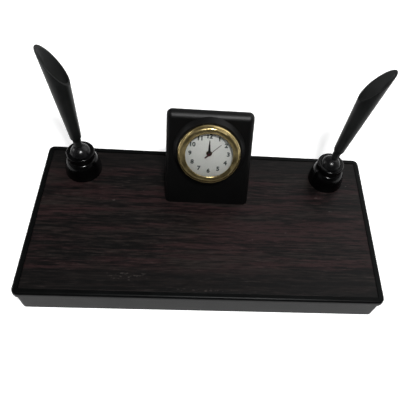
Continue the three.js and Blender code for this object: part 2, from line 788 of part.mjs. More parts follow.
function clockInsert() {
  const insert = group(
    bezel(), lens(), dial(), insertCase(), gripRing(), mainPlate(), driveModule(), buttonCell(), cellHatch(),
    cannonPinion(), minuteWheel(), hourWheel(), hourHand(), minuteHand(), secondHand(), secondsArbor(),
    settingKnob(),
  );
  insert.applyMatrix4(onFace());
  return insert;
}

// Pen holders

function bellBase(name) {
  const spigotRadius = cupBoreRadius + spigotWall;
  const spigotTop = ballHeight + spigotRise;
  const cavityRadius = ballRadius - 0.6;
  const throatRadius = cupBoreRadius + throatWall;
  const throatFoot = bellShoulder - throatDrop;
  const flangeFoot = bellShoulder - bellFlange;
  const dome = new THREE.CubicBezierCurve(
    new THREE.Vector2(footRadius - 0.1, footEdge + 0.2),
    new THREE.Vector2(domeRadius, domeHeight),
    new THREE.Vector2(throatRadius + domeShoulder, throatFoot - domeShoulder / 2),
    new THREE.Vector2(throatRadius, throatFoot),
  );
  const hole = boltRadius + holeClearance;
  const profile = [
    [0, boltGrip + runningGap], [hole, boltGrip + runningGap], [hole, 0], [hole + 2, 0],
    [hole + 2, footRecess], [footRadius - 2, footRecess], [footRadius - 1.6, 0], [footRadius, 0],
    [footRadius, footEdge],
    ...curvePoints(dome, 6),
    [throatRadius, flangeFoot - 0.4], [cupRadius, flangeFoot], [cupRadius, bellShoulder],
    [spigotRadius, bellShoulder], [spigotRadius, spigotTop], [cupBoreRadius, spigotTop],
    [cupBoreRadius, ballHeight - cupBoreDepth], [cavityRadius, ballHeight - cupConeDepth],
    [cavityRadius, cupFloor], [0, cupFloor],
  ];
  return mesh(name, revolve(profile), blackGloss());
}

function springWasher(name) {
  const outer = ballRadius - 1.1;
  const top = cupFloor + springThickness;
  const profile = [[outer, cupFloor], [outer, top], [springInnerRadius, top + springRise],
    [springInnerRadius, cupFloor + springRise]];
  return mesh(name, revolveRing(profile, smallFacets), steel());
}

// Threaded ring over the bell's spigot, which traps the ball
function retainingRing(name) {
  const counterbore = cupBoreRadius + spigotWall + slipGap;
  const underLip = spigotRise + slipGap;
  const rim = ballHeight + ringTop;
  const angleAt = (height) => Math.acos(height / ballGapRadius) / degree;
  const profile = [
    [counterbore, bellShoulder], [cupRadius, bellShoulder], [cupRadius, rim - ringEdge],
    [cupRadius - ringEdge * 0.3, rim - ringEdge * 0.25], [cupRadius - ringEdge, rim],
    ...arc(ballGapRadius, angleAt(ringTop), angleAt(underLip), 3, ballHeight),
    [counterbore, ballHeight + underLip],
  ];
  return mesh(name, revolveRing(profile), blackGloss());
}

// Nylon cup under the ball, measured from the middle of the ball
function ballSeat(name) {
  const outer = cupBoreRadius - seatClearance;
  const profile = [
    [outer - 0.95, -seatDepth], [outer, -seatConeDepth],
    [outer, ballGapRadius * Math.cos(seatTopAngle * degree)],
    ...arc(ballGapRadius, seatTopAngle, seatBottomAngle, 4),
    [ballGapRadius * Math.sin(seatBottomAngle * degree), -seatDepth],
  ];
  return mesh(name, revolveRing(profile), nylon());
}

function swivelBall(name) {
  const flatAngle = Math.acos(ballFlat / ballRadius) / degree;
  const bore = tenonRadius + runningGap;
  const profile = [
    [0, -ballRadius], ...arc(ballRadius, 180, flatAngle, 9).slice(1),
    [bore, ballFlat], [bore, ballSocketFloor], [0, ballSocketFloor],
  ];
  return mesh(name, revolve(profile), blackGloss());
}

// Conical tube with a tenon for the ball, its mouth cut obliquely, low side to +X
function penFunnel(name) {
  const radiusAt = (s) => shoulderRadius + funnelTaper * (s - shoulderAt);
  const end = mouthTipAt * 1.06;
  const tenonEnd = ballSocketFloor + runningGap;
  const neckStart = ballFlat + runningGap;
  const boreStart = boreFloorAt + 1.4;
  const floorRadius = radiusAt(boreStart) - funnelWall;
  const profile = [
    [0, tenonEnd], [tenonRadius, tenonEnd], [tenonRadius, neckStart], [neckRadius, neckStart],
    [neckRadius, neckEnd - 1.4], [neckRadius + 0.3, neckEnd], [shoulderRadius, shoulderAt],
    [radiusAt(end), end], [radiusAt(end) - funnelWall, end],
    [floorRadius, boreStart], [floorRadius * 0.6, boreFloorAt + 0.3], [0, boreFloorAt],
  ];
  const tipRadius = radiusAt(mouthTipAt);
  const cutAngle = Math.atan2(mouthLowRadius + tipRadius, mouthTipAt - mouthLowAt);
  const knifeSize = 2 * mouthTipAt;
  const knife = new THREE.BoxGeometry(knifeSize, knifeSize, knifeSize).translate(knifeSize / 2, 0, 0);
  knife.rotateY(-cutAngle).translate((mouthLowRadius - tipRadius) / 2, 0, (mouthLowAt + mouthTipAt) / 2);
  return mesh(name, geometryOf(cut(solid(revolve(profile, fineFacets)), [solid(knife)])), blackSatin());
}

function penHolder(name, { side, azimuth, tilt, spin }) {
  const funnel = penFunnel(`pen_funnel_${name}`);
  funnel.rotation.z = spin * degree;
  const tilting = group(swivelBall(`swivel_ball_${name}`), funnel);
  tilting.rotation.y = tilt * degree;
  const turning = group(ballSeat(`ball_seat_${name}`), tilting);
  turning.rotation.z = azimuth * degree;
  turning.position.z = ballHeight;
  const holder = group(
    bellBase(`bell_base_${name}`), springWasher(`spring_washer_${name}`),
    retainingRing(`retaining_ring_${name}`), turning,
  );
  holder.position.set(side * holderX, holderY, panelTop);
  return holder;
}

const deskSet = group(
  baseTray(), laminatePanel(), bottomBoard(), feltPad(), ...fasteners(),
  clockHousing(), clockInsert(),
  penHolder('left', poses.left), penHolder('right', poses.right),
);
deskSet.name = 'desk_clock_pen_holder';

export default deskSet;
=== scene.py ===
import json
from math import acos, atan2, cos, degrees, pi, radians, sin, tan

import bmesh
import bpy
from mathutils import Matrix, Vector
from mathutils.geometry import interpolate_bezier


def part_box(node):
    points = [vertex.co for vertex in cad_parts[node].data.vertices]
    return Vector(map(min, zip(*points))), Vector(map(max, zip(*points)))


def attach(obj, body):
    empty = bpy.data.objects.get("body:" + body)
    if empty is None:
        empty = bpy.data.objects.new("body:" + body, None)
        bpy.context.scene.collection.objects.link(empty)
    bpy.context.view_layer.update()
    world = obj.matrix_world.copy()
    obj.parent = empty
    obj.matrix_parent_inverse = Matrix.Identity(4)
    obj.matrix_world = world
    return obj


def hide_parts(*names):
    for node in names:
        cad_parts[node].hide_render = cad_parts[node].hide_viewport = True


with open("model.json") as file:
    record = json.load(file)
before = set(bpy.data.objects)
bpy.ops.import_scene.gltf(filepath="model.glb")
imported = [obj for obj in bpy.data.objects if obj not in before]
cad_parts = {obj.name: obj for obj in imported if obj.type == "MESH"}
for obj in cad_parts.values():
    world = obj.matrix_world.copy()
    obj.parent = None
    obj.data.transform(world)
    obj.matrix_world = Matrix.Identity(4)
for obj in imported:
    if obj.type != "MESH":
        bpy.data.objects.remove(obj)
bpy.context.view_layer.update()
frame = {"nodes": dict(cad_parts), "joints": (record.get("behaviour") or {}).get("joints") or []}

# The desk set as the photograph takes it: from above and a little to the left, close to the clock.
# The picture is cropped, so the camera's line of sight meets it beside its middle. Places are in
# metres, and in pixels of the picture.
photo_width = 400
sight_across = 239.5
sight_down = 163.9
focal_pixels = 514.0
camera_place = (-0.00729, -0.16365, 0.28534)
look_down = radians(51.794)
look_right = radians(7.837)
lean_over = radians(8.860)
nearest_seen = 0.01

camera_data = bpy.data.cameras.new("photo_camera")
camera_data.lens = focal_pixels * camera_data.sensor_width / photo_width
camera_data.shift_x = (photo_width / 2 - sight_across) / photo_width
camera_data.shift_y = (sight_down - photo_width / 2) / photo_width
camera_data.clip_start = nearest_seen
camera = bpy.data.objects.new("photo_camera", camera_data)
camera.matrix_world = (
    Matrix.Translation(camera_place)
    @ Matrix.Rotation(-look_right, 4, "Z")
    @ Matrix.Rotation(pi / 2 - look_down, 4, "X")
    @ Matrix.Rotation(lean_over, 4, "Z")
)
bpy.context.scene.collection.objects.link(camera)
bpy.context.scene.camera = camera
bpy.context.scene.view_settings.view_transform = "Standard"

# The table top: a plain surface that the camera sees white, with the object's shadow on it. To
# the object it is pale close round, dark further off and, in the object's gloss, dark in front.
table_radius = 6
pale_middle = (0, 0.16, 0)
pale_within = 0.33
dark_beyond = 0.55
shade_starts = -0.075
shade_full = -0.125
near_glow = 0.25
near_glow_within = 0.35
full_glow_beyond = 0.90
under_felt = -0.0002


class Wire:
    """One socket of a node tree. Finishes are written as sums: the operators on wires add Math
    nodes, and every other node comes from the add method."""

    def __init__(self, tree, socket=None):
        self.tree = tree
        self.socket = socket

    def add(self, kind, settings=None, values=None, output=0):
        node = self.tree.nodes.new("ShaderNode" + kind)
        for setting, value in (settings or {}).items():
            setattr(node, setting, value)
        for place, value in (values or {}).items():
            if isinstance(value, Wire):
                self.tree.links.new(value.socket, node.inputs[place])
            else:
                node.inputs[place].default_value = value
        return Wire(self.tree, node.outputs[output])

    def math(self, operation, first, second):
        return self.add("Math", {"operation": operation}, {0: first, 1: second})

    def __add__(self, other):
        return self.math("ADD", self, other)

    def __sub__(self, other):
        return self.math("SUBTRACT", self, other)

    def __rsub__(self, other):
        return self.math("SUBTRACT", other, self)

    def __mul__(self, other):
        return self.math("MULTIPLY", self, other)

    def __abs__(self):
        return self.math("ABSOLUTE", self, 0)

    __radd__ = __add__
    __rmul__ = __mul__

    def blend(self, low, high):
        """A colour between two: low where this wire is 0, high where it is 1."""
        return self.add("Mix", {"data_type": "RGBA"}, {0: self, 6: low, 7: high}, output=2)

    def between(self, low, high):
        """From 0 at low to 1 at high, smooth in between and level beyond. Low may be the greater."""
        settings = {"interpolation_type": "SMOOTHSTEP"}
        return self.add("MapRange", settings, {"Value": self, "From Min": low, "From Max": high})

    def place(self):
        """Where a point lies, on the stand's own coordinates in metres."""
        return self.add("TexCoord", output="Object")

    def along(self, axis):
        """One coordinate of a place or direction: X across the stand, Y to its back, Z up."""
        return self.add("SeparateXYZ", {}, {"Vector": self}, output=axis)

    def stretched(self, stretch):
        """A place with a scale for each of its coordinates."""
        return self.add("Mapping", {}, {"Vector": self, "Scale": stretch})

    def apart(self, point):
        """How far a place is from a point."""
        return self.add("VectorMath", {"operation": "DISTANCE"}, {0: self, 1: point}, output="Value")

    def noise(self, scale, stretch=(1, 1, 1), detail=2.0, roughness=0.5, distortion=0.0):
        """Noise over the piece, scale in cells per metre."""
        return self.add("TexNoise", {}, {
            "Vector": self.place().stretched(stretch), "Scale": scale, "Detail": detail,
            "Roughness": roughness, "Distortion": distortion,
        })


def colour(red, green, blue):
    return (red, green, blue, 1)


def new_finish(name, values):
    """A material whose constants sit on its shader's own sockets, with a wire to build on."""
    material = bpy.data.materials.new(name)
    material.use_nodes = True
    shader = material.node_tree.nodes["Principled BSDF"]
    for socket, value in values.items():
        shader.inputs[socket].default_value = value
    return material, Wire(material.node_tree), shader


def feed(shader, **wires):
    """Links wires to a shader's sockets, an underscore standing for a space in a socket's name."""
    for name, wire in wires.items():
        wire.tree.links.new(wire.socket, shader.inputs[name.replace("_", " ")])


floor_mesh = bmesh.new()
bmesh.ops.create_circle(floor_mesh, cap_ends=True, radius=table_radius, segments=64)
floor_data = bpy.data.meshes.new("table_top")
floor_mesh.to_mesh(floor_data)
floor_mesh.free()
floor = bpy.data.objects.new("table_top", floor_data)
bpy.context.scene.collection.objects.link(floor)
floor.location.z = under_felt
table_finish, table, table_shader = new_finish("pale_table", {
    "Roughness": 0.8, "Specular IOR Level": 0.1, "Emission Strength": 1.0,
})
seen_by_camera = table.add("LightPath", output="Is Camera Ray")
seen_in_gloss = table.add("LightPath", output="Is Glossy Ray")
seen_through = table.add("LightPath", output="Is Transmission Ray")
table_seen = seen_by_camera + seen_in_gloss + seen_through
table_reach = table.place().apart(pale_middle)
table_shade = seen_in_gloss * table.place().along("Y").between(shade_starts, shade_full)
table_pale = seen_by_camera + table_reach.between(dark_beyond, pale_within) * (1 - table_shade)
table_glow = near_glow + (1 - near_glow) * table_reach.between(near_glow_within, full_glow_beyond)
table_bright = table_seen * table_pale * table_glow
feed(table_shader, Base_Color=table_pale.blend(colour(0.15, 0.15, 0.15), colour(0.86, 0.86, 0.86)))
feed(table_shader, Emission_Color=table_bright.blend(colour(0, 0, 0), colour(1, 1, 1)))
floor_data.materials.append(table_finish)

# The room round the table: walls that are pale behind on the right and at both sides and dark in
# front, a dim ceiling, a lamp overhead in front, a small window on the left and a wide soft one
# behind. A strength of 1 is white, and spans are of directions: -1 to 1 across, back and up.
wall_behind = 0.66
wall_in_front = 0.05
wall_behind_left = 0.14
wall_behind_right = 0.93
wall_at_sides = 0.45
room_ceiling = 0.10
behind_span = (-0.4, 0.5)
right_span = (-0.6, 0.5)
side_span = (0.55, 0.85)
below_ceiling_span = (0.90, 0.60)
room = bpy.data.worlds.new("pale_room")
room.use_nodes = True
bpy.context.scene.world = room
room_wire = Wire(room.node_tree)
room_way = room_wire.add("TexCoord", output="Generated")
room_across = room_way.along("X")
behind = room_way.along("Y").between(*behind_span)
behind_light = behind * (wall_behind_left + wall_behind_right * room_across.between(*right_span))
side_light = wall_at_sides * abs(room_across).between(*side_span)
room_lights = behind_light + side_light
room_walls = wall_in_front + (wall_behind - wall_in_front) * room_lights
below_ceiling = room_way.along("Z").between(*below_ceiling_span)
room_strength = room_ceiling + (room_walls - room_ceiling) * below_ceiling
backdrop = room.node_tree.nodes["Background"]
backdrop.inputs["Color"].default_value = colour(1, 1, 1)
room.node_tree.links.new(room_strength.socket, backdrop.inputs["Strength"])


def add_lamp(name, place, aim, size, power):
    """A round lamp in metres and watts that shines from its place to its aim."""
    lamp_data = bpy.data.lights.new(name, "AREA")
    lamp_data.shape = "DISK"
    lamp_data.size = size
    lamp_data.energy = power
    lamp = bpy.data.objects.new(name, lamp_data)
    direction = Vector(aim) - Vector(place)
    lamp.matrix_world = (
        Matrix.Translation(place) @ direction.to_track_quat("-Z", "Y").to_matrix().to_4x4()
    )
    bpy.context.scene.collection.objects.link(lamp)


add_lamp("ceiling_lamp", place=(0.13, -0.38, 1.00), aim=(0, 0, 0.02), size=0.16, power=10.5)
add_lamp("window_left", place=(-0.95, 0.27, 0.42), aim=(0, 0, 0.03), size=0.30, power=1.1)
add_lamp("window_right", place=(0.75, 0.75, 0.95), aim=(0.05, 0, 0.02), size=1.30, power=4.0)

# Base body: one black moulded tray, hollow underneath, with a rounded lip that stands about a
# millimetre proud of its side walls and a shallow recess on top for the wood sheet. From here on
# sizes are in millimetres, unless a comment says otherwise.
millimetre = 0.001
weld_reach = 0.0005
square_on = 0.95
lip_height = 4.6
lip_overhang = 1.0
lip_chamfer = 0.5
lip_round = 1.5
corner_round = 3.6
rim_width = 3.3
side_taper = 0.5
tray_wall = 2.6
deck_thickness = 2.6


def box_of(node):
    """A CAD node's lowest and highest corners in millimetres."""
    low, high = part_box(node)
    return low / millimetre, high / millimetre


def as_piece(name, mesh, material, body, replaced, place=Matrix(), smooth=35):
    """A finished bmesh in millimetres becomes a piece that rides on a body of the frame. Its edges
    stay sharp from an angle of smooth degrees upwards."""
    bmesh.ops.remove_doubles(mesh, verts=mesh.verts, dist=weld_reach)
    bmesh.ops.recalc_face_normals(mesh, faces=mesh.faces)
    for face in mesh.faces:
        face.smooth = True
    for edge in mesh.edges:
        edge.smooth = edge.calc_face_angle(0) < radians(smooth)
    bmesh.ops.transform(mesh, matrix=place @ Matrix.Scale(millimetre, 4), verts=mesh.verts)
    data = bpy.data.meshes.new(name)
    mesh.to_mesh(data)
    mesh.free()
    data.materials.append(material)
    piece = bpy.data.objects.new(name, data)
    bpy.context.scene.collection.objects.link(piece)
    even = piece.modifiers.new("even_shading", "WEIGHTED_NORMAL")
    even.keep_sharp = True
    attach(piece, body)
    if replaced:
        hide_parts(*replaced)


def slab(length, depth, bottom, top, corner, corner_steps=8):
    """A plate with rounded upright corners, about the middle of the stand."""
    mesh = bmesh.new()
    bmesh.ops.create_cube(mesh, size=1)
    bmesh.ops.scale(mesh, vec=(length, depth, top - bottom), verts=mesh.verts)
    bmesh.ops.translate(mesh, vec=(0, 0, (top + bottom) / 2), verts=mesh.verts)
    upright = [edge for edge in mesh.edges
               if abs(edge.verts[0].co.z - edge.verts[1].co.z) > weld_reach]
    bmesh.ops.bevel(mesh, geom=upright, offset=corner, offset_type="OFFSET", affect="EDGES",
                    segments=corner_steps, profile=0.5, material=-1)
    return mesh


def face_towards(mesh, direction):
    """The face that lies furthest in a direction and looks that way, or the largest of them."""
    way = Vector(direction)
    looking = [face for face in mesh.faces if face.normal.dot(way) > square_on]
    return max(looking, key=lambda face: (round(face.calc_center_median().dot(way), 3),
                                          face.calc_area()))


def round_edges_of(mesh, face, offset, steps):
    """Rounds the outline of a face, and gives back the face that is left of it."""
    way = face.normal.copy()
    bmesh.ops.bevel(mesh, geom=list(face.edges), offset=offset, offset_type="OFFSET",
                    affect="EDGES", segments=steps, profile=0.5, material=-1)
    mesh.normal_update()
    return face_towards(mesh, way)


def push_in(mesh, face, inset, depth):
    """Insets a face and moves what is left of it along Z, which opens a step or a recess."""
    bmesh.ops.inset_region(mesh, faces=[face], thickness=inset, use_even_offset=True)
    sides = bmesh.ops.extrude_discrete_faces(mesh, faces=[face])["faces"]
    bmesh.ops.translate(mesh, vec=(0, 0, depth), verts=sides[0].verts)
    mesh.normal_update()
    return sides[0]


def bumps(wire, height, distance):
    """Relief from a height of 0 to 1, which stands for a distance in metres."""
    return wire.add("Bump", {}, {"Height": height, "Distance": distance, "Strength": 1.0})


def moulded_plastic(name, base, roughness, specular):
    """Moulded plastic: a little uneven in colour and gloss, with a faint skin texture."""
    material, wire, shader = new_finish(name, {"Specular IOR Level": specular})
    cloud = wire.noise(90, detail=4)
    skin = wire.noise(2600, detail=2)
    low = colour(*(0.8 * part for part in base))
    high = colour(*(1.25 * part for part in base))
    feed(shader, Base_Color=cloud.between(0.3, 0.7).blend(low, high))
    feed(shader, Roughness=roughness + 0.10 * (cloud - 0.5) + 0.05 * (skin - 0.5))
    feed(shader, Normal=bumps(wire, skin, 0.00002))
    return material


tray_low, tray_high = box_of("base_tray")
panel_low, panel_high = box_of("laminate_panel")
tray_length = tray_high.x - tray_low.x
tray_depth = tray_high.y - tray_low.y
deck_top = panel_low.z
tray = slab(tray_length, tray_depth, tray_high.z - lip_height, tray_high.z, corner_round)
top_face = round_edges_of(tray, face_towards(tray, (0, 0, 1)), lip_round, 5)
push_in(tray, top_face, rim_width - lip_round, deck_top - tray_high.z)
under_face = round_edges_of(tray, face_towards(tray, (0, 0, -1)), lip_chamfer, 2)
under_lip = tray_high.z - lip_height
foot_face = push_in(tray, under_face, lip_overhang - lip_chamfer, tray_low.z - under_lip)
taper = Matrix.Diagonal((1 - 2 * side_taper / tray_length, 1 - 2 * side_taper / tray_depth, 1, 1))
bmesh.ops.transform(tray, matrix=taper, verts=foot_face.verts)
push_in(tray, foot_face, tray_wall, deck_top - deck_thickness - tray_low.z)
tray_plastic = moulded_plastic("base_plastic", (0.0018, 0.0021, 0.0021), roughness=0.34,
                               specular=0.07)
as_piece("base_body", tray, tray_plastic, "base", ["base_tray"])

# Wood sheet: a thin rosewood laminate glued into the recess of the tray. Its grain runs along it
# in dark streaks over wide brown bands, darker towards the edges, with open pores, pale chips at
# the middle of the front edge and in a worn spot at the front left, and a pale patch of painted
# reflection in front of the right bell. Places on its face are in metres.
sheet_corner = 0.6
sheet_edge_round = 0.12
darker_from = 0.030
dark_edge = 0.041
front_wear_from = -0.0442
front_wear_full = -0.0464
front_wear_reach = 0.022
front_wear_core = 0.014
spot_core = 0.4
spot_squash = 4
# Two pale spots: a worn one at the front left, and a painted reflection in front of the right bell.
wear_and_reflection_spots = (((-0.0425, -0.0385), 0.016), ((0.0709, 0.0185), 0.008))
sheet = slab(panel_high.x - panel_low.x, panel_high.y - panel_low.y, panel_low.z, panel_high.z,
             sheet_corner, 4)
round_edges_of(sheet, face_towards(sheet, (0, 0, 1)), sheet_edge_round, 2)
rosewood, wood, wood_shader = new_finish("rosewood_laminate", {"Specular IOR Level": 0.15})
bands = wood.noise(10, (1, 9, 1), detail=3, roughness=0.6, distortion=0.5)
streaks = wood.noise(20, (1, 30, 1), detail=4, roughness=0.68, distortion=0.1)
fibres = wood.noise(110, (1, 9.5, 1), detail=3, roughness=0.75)
pores = wood.noise(100, (1, 9, 1), detail=2, distortion=0.3)
specks = wood.noise(260, (1, 1.6, 1), detail=2)
patches = wood.noise(24, (1, 8, 1), detail=4)
wood_depth = wood.place().along("Y")
off_middle = abs(wood.place().along("X"))
edge_band = (abs(wood_depth) + 0.03 * (bands - 0.5)).between(darker_from, dark_edge)
tone = 0.22 * bands + 0.40 * streaks + 0.38 * fibres
tone_step = (tone - 0.02 * edge_band).between(0.425, 0.575)
red_brown = tone_step.blend(colour(0.0018, 0.0014, 0.0015), colour(0.0196, 0.0092, 0.0095))
grey_brown = tone_step.blend(colour(0.0014, 0.0013, 0.0013), colour(0.0150, 0.0110, 0.0100))
brown = (patches.between(0.40, 0.60) * (1 - 0.8 * edge_band)).blend(grey_brown, red_brown)
brown = (0.6 * edge_band).blend(brown, colour(0.0018, 0.0017, 0.0017))
dark_line = streaks.between(0.40, 0.32)
grain = dark_line.blend(brown, colour(0.0020, 0.0017, 0.0018))
open_grain = (0.7 * pores.between(0.58, 0.70)).blend(grain, colour(0.0018, 0.0016, 0.0016))
front_wear = wood_depth.between(front_wear_from, front_wear_full)
wear = front_wear * off_middle.between(front_wear_reach, front_wear_core)
for (across, back), reach in wear_and_reflection_spots:
    spot_middle = (across, spot_squash * back, panel_high.z * millimetre)
    spot_reach = wood.place().stretched((1, spot_squash, 1)).apart(spot_middle)
    wear = wear + spot_reach.between(reach, spot_core * reach)
# Pale chips of real wear, and in front of the right bell a painted reflection; both go into wear.
chips_and_reflection = wear * wood.noise(430, (1, 1.6, 1), detail=1).between(0.60, 0.70)
flecks = 0.07 * fibres.between(0.58, 0.74) + 0.25 * specks.between(0.74, 0.82) + 0.14 * chips_and_reflection
wood_colour = flecks.blend(open_grain, colour(0.15, 0.13, 0.12))
feed(wood_shader, Base_Color=wood_colour)
feed(wood_shader, Roughness=0.42 + 0.12 * (fibres - 0.5) + 0.1 * pores.between(0.6, 0.72))
feed(wood_shader, Normal=bumps(wood, fibres - pores.between(0.60, 0.72), 0.00003))
as_piece("rosewood_sheet", sheet, rosewood, "base", ["laminate_panel"])

# Underside: a sheet of green felt glued under the board that closes the tray. It is soft, so its
# edges are rounded and its face is a little uneven.
felt_corner = 1.2
felt_round = 0.35
felt_low, felt_high = box_of("felt_pad")
felt_sheet = slab(felt_high.x - felt_low.x, felt_high.y - felt_low.y, felt_low.z, felt_high.z,
                  felt_corner, 4)
round_edges_of(felt_sheet, face_towards(felt_sheet, (0, 0, -1)), felt_round, 3)
felt, felt_wire, felt_shader = new_finish("felt", {
    "Specular IOR Level": 0.1, "Sheen Weight": 0.3, "Sheen Roughness": 0.5,
})
felt_fuzz = felt_wire.noise(1800, detail=3)
felt_cloud = felt_wire.noise(60, detail=3)
felt_tone = 0.6 * felt_fuzz + 0.4 * felt_cloud
feed(felt_shader, Base_Color=felt_tone.between(0.3, 0.7).blend(
    colour(0.007, 0.016, 0.010), colour(0.018, 0.037, 0.025)))
feed(felt_shader, Roughness=0.9 + 0.1 * (felt_fuzz - 0.5))
feed(felt_shader, Normal=bumps(felt_wire, felt_fuzz, 0.00025))
as_piece("felt_sheet", felt_sheet, felt, "base", ["felt_pad"])

# Clock block: a hollow black moulding whose face leans back, with rounded edges and a raised
# conical collar round the hole that the clock is pushed into. Four screws hold it from below.
face_lean = radians(24.8)
block_fold = 2.8
block_back_edge = 3.0
block_side_edge = 3.2
block_wall = 2.3
inside_fold = 0.6
inside_back_edge = 0.5
inside_side_edge = 0.4
collar_foot = 21.1
collar_rim = 18.9
collar_height = 3.2
collar_edge = 0.5
bore_radius = 16.95
bore_depth = 4.5
sleeve_wall = 1.5
sleeve_depth = 4.0
past_surface = 1
joint_named = {joint["name"]: joint for joint in frame["joints"]}
clock_centre = Vector(joint_named["minute_turn"]["pos_m"])
leant_back = Matrix.Rotation(pi / 2 - face_lean, 4, "X")
on_face = Matrix.Translation(clock_centre) @ leant_back
on_face_in_millimetres = Matrix.Translation(clock_centre / millimetre) @ leant_back


def wedge(inset, bottom, fold, back_edge, side_edge):
    """The block's outside, or its inside when it is drawn in by an inset."""
    low, high = box_of("clock_housing")
    face_point = clock_centre / millimetre
    front = face_point.y - (face_point.z - low.z) * tan(face_lean) + inset / cos(face_lean)
    top = high.z - inset
    back = high.y - inset
    half = (high.x - low.x) / 2 - inset
    mesh = bmesh.new()
    bmesh.ops.create_cube(mesh, size=2)
    for corner in mesh.verts:
        z = top if corner.co.z > 0 else bottom
        y = back if corner.co.y > 0 else front + (z - low.z) * tan(face_lean)
        corner.co = (half * corner.co.x, y, z)
    mesh.normal_update()
    leaning = (0, -cos(face_lean), sin(face_lean))
    near_top = top - 0.1
    off_bottom = bottom + 0.1
    for way, lowest, offset in ((leaning, near_top, fold), ((0, 1, 0), near_top, back_edge),
                                ((-1, 0, 0), off_bottom, side_edge), ((1, 0, 0), off_bottom, side_edge)):
        side = face_towards(mesh, way)
        edges = [edge for edge in side.edges
                 if (edge.verts[0].co.z + edge.verts[1].co.z) / 2 > lowest]
        bmesh.ops.bevel(mesh, geom=edges, offset=offset, offset_type="OFFSET", affect="EDGES",
                        segments=8, profile=0.5, material=-1)
        mesh.normal_update()
    return mesh


def turned(profile, steps=96):
    """A solid turned about Z from a closed profile of radius and height."""
    mesh = bmesh.new()
    corners = [mesh.verts.new((radius, 0, height)) for radius, height in profile]
    edges = [mesh.edges.new((corner, following))
             for corner, following in zip(corners, corners[1:] + corners[:1])
             if max(corner.co.x, following.co.x) > weld_reach]
    bmesh.ops.spin(mesh, geom=corners + edges, axis=(0, 0, 1), cent=(0, 0, 0), angle=2 * pi,
                   steps=steps, use_merge=True)
    bmesh.ops.remove_doubles(mesh, verts=mesh.verts, dist=weld_reach)
    bmesh.ops.recalc_face_normals(mesh, faces=mesh.faces)
    return mesh


def cut_and_join(outside, steps):
    """The mesh of a body after cutting others from it or joining them to it, one by one."""
    data = bpy.data.meshes.new("blank")
    outside.to_mesh(data)
    outside.free()
    blank = bpy.data.objects.new("blank", data)
    bpy.context.scene.collection.objects.link(blank)
    tools = []
    for operation, tool_mesh, place in steps:
        tool_data = bpy.data.meshes.new("tool")
        bmesh.ops.transform(tool_mesh, matrix=place, verts=tool_mesh.verts)
        tool_mesh.to_mesh(tool_data)
        tool_mesh.free()
        tool = bpy.data.objects.new("tool", tool_data)
        bpy.context.scene.collection.objects.link(tool)
        tools.append(tool)
        step = blank.modifiers.new("step", "BOOLEAN")
        step.operation = operation
        step.solver = "EXACT"
        step.object = tool
    finished = blank.evaluated_get(bpy.context.evaluated_depsgraph_get()).to_mesh()
    result = bmesh.new()
    result.from_mesh(finished)
    for used in [blank, *tools]:
        bpy.data.objects.remove(used)
    return result


block_foot = box_of("clock_housing")[0].z
collar_profile = [
    (0, -past_surface), (collar_foot, -past_surface), (collar_foot, 0),
    (collar_rim + 0.9 * collar_edge, collar_height - collar_edge),
    (collar_rim + 0.3 * collar_edge, collar_height - 0.24 * collar_edge),
    (collar_rim - 0.4 * collar_edge, collar_height), (0, collar_height),
]
sleeve_profile = [
    (0, -sleeve_depth), (bore_radius + sleeve_wall, -sleeve_depth),
    (bore_radius + sleeve_wall, -past_surface), (0, -past_surface),
]
bore_profile = [
    (0, -bore_depth), (bore_radius, -bore_depth),
    (bore_radius, collar_height + past_surface), (0, collar_height + past_surface),
]
block = cut_and_join(
    wedge(0, block_foot, block_fold, block_back_edge, block_side_edge),
    [
        ("DIFFERENCE", wedge(block_wall, block_foot - past_surface, inside_fold, inside_back_edge,
                             inside_side_edge), Matrix()),
        ("UNION", turned(sleeve_profile), on_face_in_millimetres),
        ("UNION", turned(collar_profile), on_face_in_millimetres),
        ("DIFFERENCE", turned(bore_profile), on_face_in_millimetres),
    ],
)
block_plastic = moulded_plastic("block_plastic", (0.0003, 0.0003, 0.0003), roughness=0.45,
                                specular=0.23)
as_piece("clock_block", block, block_plastic, "base", ["clock_housing"], smooth=30)

# Clock case: a black plastic cup with a flange, pushed into the block from the front. A ribbed
# rubber ring grips the bore. The coin hatch and the knob come through its floor.
case_radius = 16.1
case_wall = 1.4
case_back = -5.5
case_floor = -4.3
case_flange = 17.45
case_rim = 5.3
seat_level = 3.5
dial_ledge = 3.1
dial_seat = 15.5
hatch_up = 7.4
hatch_hole = 4.6
knob_up = -12.0
knob_hole = 1.1
edge_break = 0.25
small_steps = 40


def plug(radius, bottom, top, up):
    """A round tool for a hole, set up or down the face from the clock's middle."""
    mesh = turned([(0, bottom), (radius, bottom), (radius, top), (0, top)], small_steps)
    bmesh.ops.translate(mesh, vec=(0, up, 0), verts=mesh.verts)
    return mesh


case_inside = case_radius - case_wall
case_profile = [
    (0, case_back), (case_radius - edge_break, case_back), (case_radius, case_back + edge_break),
    (case_radius, seat_level), (case_flange, seat_level), (case_flange, case_rim),
    (dial_seat, case_rim), (dial_seat, dial_ledge), (case_inside, dial_ledge),
    (case_inside, case_floor), (0, case_floor),
]
clock_case = cut_and_join(turned(case_profile), [
    ("DIFFERENCE", plug(hatch_hole, case_back - past_surface, case_floor + past_surface, hatch_up),
     Matrix()),
    ("DIFFERENCE", plug(knob_hole, case_back - past_surface, case_floor + past_surface, knob_up),
     Matrix()),
])
case_plastic = moulded_plastic("case_plastic", (0.008, 0.008, 0.0084), roughness=0.42,
                               specular=0.4)
as_piece("clock_case", clock_case, case_plastic, "clock_insert", ["insert_case"],
         place=on_face)

